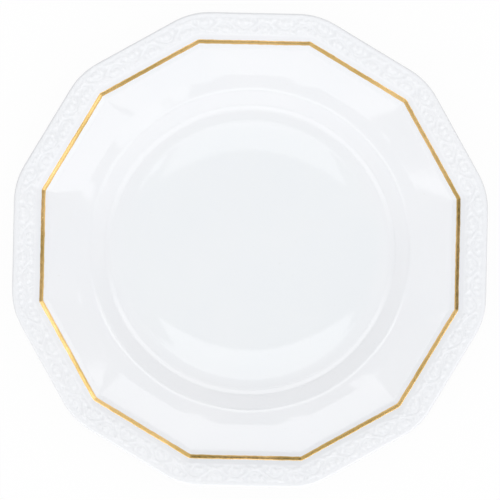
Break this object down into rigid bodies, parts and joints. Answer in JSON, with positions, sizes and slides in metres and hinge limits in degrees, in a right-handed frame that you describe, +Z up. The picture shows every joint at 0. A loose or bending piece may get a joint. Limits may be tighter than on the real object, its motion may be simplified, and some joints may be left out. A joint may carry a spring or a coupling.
{
  "type": "dinner plate",
  "caption": "Polygonal white porcelain dinner plate with a round well, flat rim panels, a fired gold line, a raised border and a bare foot ring; it holds a served meal.",
  "frame": {"origin": "middle of the face that the foot ring stands on", "axes": "+Z up, out of the well; the middles of four sides face +X, +Y, -X and -Y"},
  "size_m": [0.26, 0.26, 0.0237],
  "materials": {
    "biscuit": "matte",
    "glaze": "gloss",
    "gold": "polished"
  },
  "bodies": {
    "root": {"biscuit_body": "biscuit", "glaze_coat": "glaze", "foot_recess_glaze": "glaze", "gold_line": "gold"}
  },
  "joints": []
}
